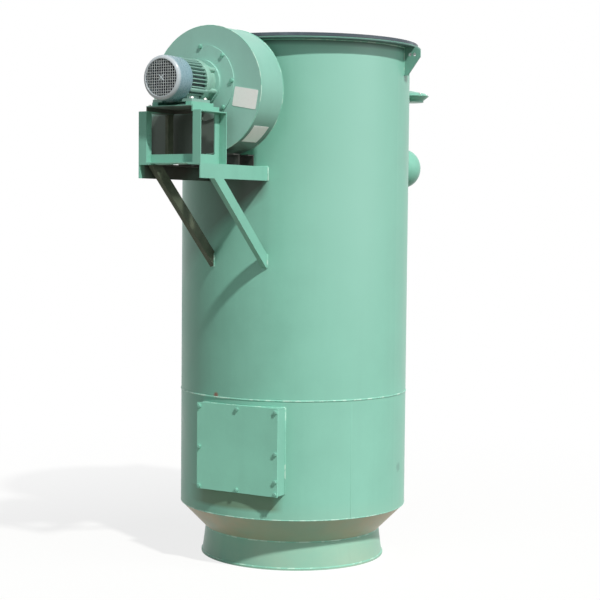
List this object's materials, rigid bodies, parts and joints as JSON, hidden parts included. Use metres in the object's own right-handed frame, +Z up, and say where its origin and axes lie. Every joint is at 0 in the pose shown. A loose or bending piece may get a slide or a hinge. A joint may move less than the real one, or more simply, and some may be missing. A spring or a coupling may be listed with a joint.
{
  "type": "bin vent dust collector",
  "caption": "Round bin vent filter on a flared collar, with a top flange and lid, a motor-driven fan on a braced bracket, an access panel and a rear air tank.",
  "frame": {"origin": "on the housing's vertical axis at the foot of the inlet collar, where it stands", "axes": "+Z up; the fan side faces -Y; +X to the right seen from the fan side"},
  "size_m": [1.2452, 1.925, 2.488],
  "materials": {
    "green_paint": "satin sea-green paint",
    "lid_paint": "dark blue-grey paint",
    "seal_rubber": "matt",
    "motor_paint": "satin green paint on cast ribs",
    "cowl_paint": "silver blue-grey paint",
    "wheel_steel": "grey primer"
  },
  "bodies": {
    "root": {"foot_ring": "green_paint", "inlet_collar": "green_paint", "cone": "green_paint", "lower_shell": "green_paint", "upper_shell": "green_paint", "top_flange": "green_paint", "lid_seal": "seal_rubber", "lid": "lid_paint", "lifting_lug_right": "green_paint", "lifting_lug_left": "green_paint", "panel_frame": "green_paint", "access_panel": "green_paint", "arm_right": "green_paint", "arm_left": "green_paint", "brace_right": "green_paint", "brace_left": "green_paint", "front_cross_member": "green_paint", "side_sill_right": "green_paint", "side_sill_left": "green_paint", "fan_rail_front": "green_paint", "fan_rail_back": "green_paint", "post_front_right": "green_paint", "post_front_left": "green_paint", "post_back_right": "green_paint", "post_back_left": "green_paint", "side_bar_right": "green_paint", "side_bar_left": "green_paint", "motor_plate": "green_paint", "motor_feet": "motor_paint", "motor_body": "motor_paint", "motor_flange": "green_paint", "motor_cowl": "cowl_paint", "hub_plate": "green_paint", "fan_front_plate": "green_paint", "fan_scroll": "green_paint", "fan_back_plate": "green_paint", "outlet_flange": "green_paint", "inlet_duct": "green_paint", "fan_wheel": "wheel_steel", "tank_shell": "green_paint", "tank_head_right": "green_paint", "tank_head_left": "green_paint", "tank_bracket_right": "green_paint", "tank_bracket_left": "green_paint", "pulse_valve_1": "green_paint", "pulse_valve_2": "green_paint", "pulse_valve_3": "green_paint", "pulse_valve_4": "green_paint", "valve_covers": "green_paint"}
  },
  "joints": []
}
